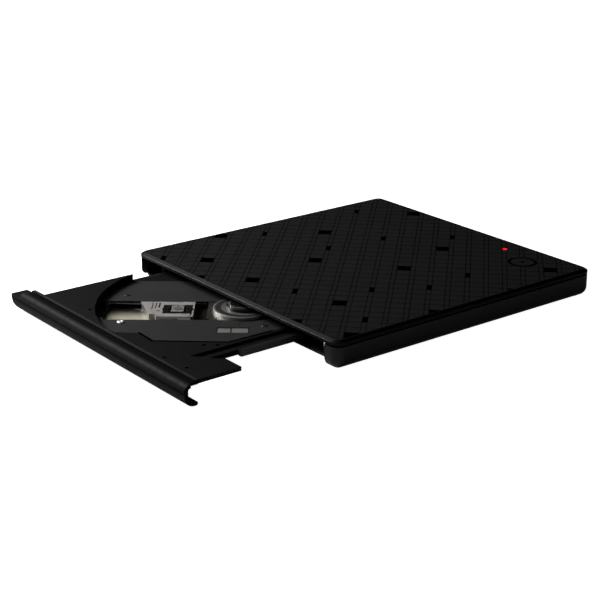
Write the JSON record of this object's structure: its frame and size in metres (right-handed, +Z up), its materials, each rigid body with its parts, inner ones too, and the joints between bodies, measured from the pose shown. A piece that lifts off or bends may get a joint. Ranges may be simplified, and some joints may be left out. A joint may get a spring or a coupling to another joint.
{
  "type": "optical disc drive",
  "caption": "Slim external optical drive: low rounded case, engraved plaid cover, eject button, and a sliding disc tray with spindle, pickup and wide front bezel.",
  "frame": {"origin": "on the table, under the middle of the whole object with the tray half open", "axes": "+Z up; the tray slides out towards -Y; +X to the right when facing +Y"},
  "size_m": [0.14, 0.207, 0.013],
  "materials": {
    "cover_plastic": "semi-gloss dark grey with an engraved plaid",
    "case_plastic": "satin black",
    "bezel_plastic": "satin black",
    "tray_plastic": "fine-grained dark grey",
    "deck_coat": "fine black coating on sheet",
    "rail_plastic": "satin black",
    "clamp_plastic": "black moulded",
    "switch_cream": "natural nylon",
    "foot_rubber": "matte",
    "pad_rubber": "matte",
    "screw_steel": "zinc plated",
    "plated_steel": "plated sheet",
    "polished_steel": "turned",
    "traverse_steel": "dull plated sheet",
    "pickup_alloy": "die cast",
    "pickup_shield": "thin bright sheet",
    "bright_chrome": "ground and polished",
    "coil_copper": "enamelled wire",
    "lens_glass": "coated",
    "flex_amber": "polyimide film",
    "flex_silver": "printed film",
    "board_green": "solder mask",
    "magnet_grey": "plated magnets",
    "chip_black": "moulded",
    "led_red": "tinted epoxy",
    "light_pipe_red": "tinted clear"
  },
  "bodies": {
    "case": {"top_cover": "cover_plastic", "bottom_case": "case_plastic", "case_screws": "screw_steel", "rubber_feet": "foot_rubber", "eject_switch": "plated_steel", "button_strip": "flex_amber", "status_led": "led_red", "light_pipe": "light_pipe_red", "drive_pan": "plated_steel", "drive_lid": "plated_steel", "lid_screws": "screw_steel", "left_guide": "polished_steel", "right_guide": "polished_steel", "main_board": "board_green", "board_chips": "chip_black", "case_ribbon": "flex_silver", "latch_post": "bright_chrome", "usb_board": "board_green", "usb_socket": "plated_steel", "drive_connector": "chip_black"},
    "button": {"eject_button": "cover_plastic", "switch_plunger": "switch_cream"},
    "left_middle_rail": {"left_rail": "rail_plastic"},
    "right_middle_rail": {"right_rail": "rail_plastic"},
    "tray_unit": {"tray": "tray_plastic", "bezel": "bezel_plastic", "tray_under_cover": "plated_steel", "rear_deck_plate": "deck_coat", "front_deck_plate": "deck_coat", "deck_screws": "screw_steel", "traverse_frame": "traverse_steel", "rubber_dampers": "foot_rubber", "spindle_motor": "plated_steel", "main_guide_rod": "bright_chrome", "sub_guide_rod": "bright_chrome", "sled_motor": "plated_steel", "tray_ribbon": "flex_silver", "eject_solenoid": "coil_copper", "latch_pin": "bright_chrome"},
    "spindle": {"turntable": "polished_steel", "turntable_pad": "pad_rubber", "disc_clamp": "clamp_plastic", "clamp_balls": "bright_chrome"},
    "sled": {"pickup_sled": "pickup_alloy", "pickup_cover": "pickup_shield", "actuator_magnets": "magnet_grey", "pickup_ribbon": "flex_silver", "sled_nut": "switch_cream"},
    "lens": {"lens_holder": "clamp_plastic", "objective_lens": "lens_glass"},
    "feed_screw": {"lead_screw": "bright_chrome"},
    "latch": {"latch_lever": "switch_cream"},
    "solenoid_core": {"solenoid_plunger": "bright_chrome"}
  },
  "joints": [
    {"name": "tray_slide", "type": "slide", "parent": "case", "child": "tray_unit", "axis": [0, -1, 0], "range_m": [-0.0639, 0.068]},
    {"name": "left_rail_slide", "type": "slide", "parent": "case", "child": "left_middle_rail", "axis": [0, -1, 0], "range_m": [-0.032, 0.0341]},
    {"name": "right_rail_slide", "type": "slide", "parent": "case", "child": "right_middle_rail", "axis": [0, -1, 0], "range_m": [-0.032, 0.0341]},
    {"name": "eject_press", "type": "slide", "parent": "case", "child": "button", "axis": [0, 0, -1], "range_m": [0, 0.0003], "stiffness_N_per_m": 1500, "springref_m": -0.0005},
    {"name": "turntable_spin", "type": "hinge", "parent": "tray_unit", "child": "spindle", "pos_m": [0.0048, -0.03535, 0.0065], "axis": [0, 0, 1], "continuous": true},
    {"name": "sled_slide", "type": "slide", "parent": "tray_unit", "child": "sled", "axis": [-0.6225, -0.7826, 0], "range_m": [-0.0044, 0.0306]},
    {"name": "lead_screw_spin", "type": "hinge", "parent": "tray_unit", "child": "feed_screw", "pos_m": [0.01697, -0.05781, 0.0045], "axis": [-0.6225, -0.7826, 0], "continuous": true},
    {"name": "lens_focus", "type": "slide", "parent": "sled", "child": "lens", "axis": [0, 0, 1], "range_m": [-0.0003, 0.0004], "stiffness_N_per_m": 60},
    {"name": "plunger_slide", "type": "slide", "parent": "tray_unit", "child": "solenoid_core", "axis": [1, 0, 0], "range_m": [0, 0.00085]},
    {"name": "latch_turn", "type": "hinge", "parent": "tray_unit", "child": "latch", "pos_m": [0.0465, -0.08145, 0.007], "axis": [0, 0, 1], "range_deg": [0, 10]}
  ],
  "couplings": [
    {"joint": "left_rail_slide", "follows": "tray_slide", "ratio": 0.5},
    {"joint": "right_rail_slide", "follows": "tray_slide", "ratio": 0.5},
    {"joint": "lead_screw_spin", "follows": "sled_slide", "rad_per_m": 2094.4},
    {"joint": "latch_turn", "follows": "plunger_slide", "rad_per_m": 200}
  ]
}
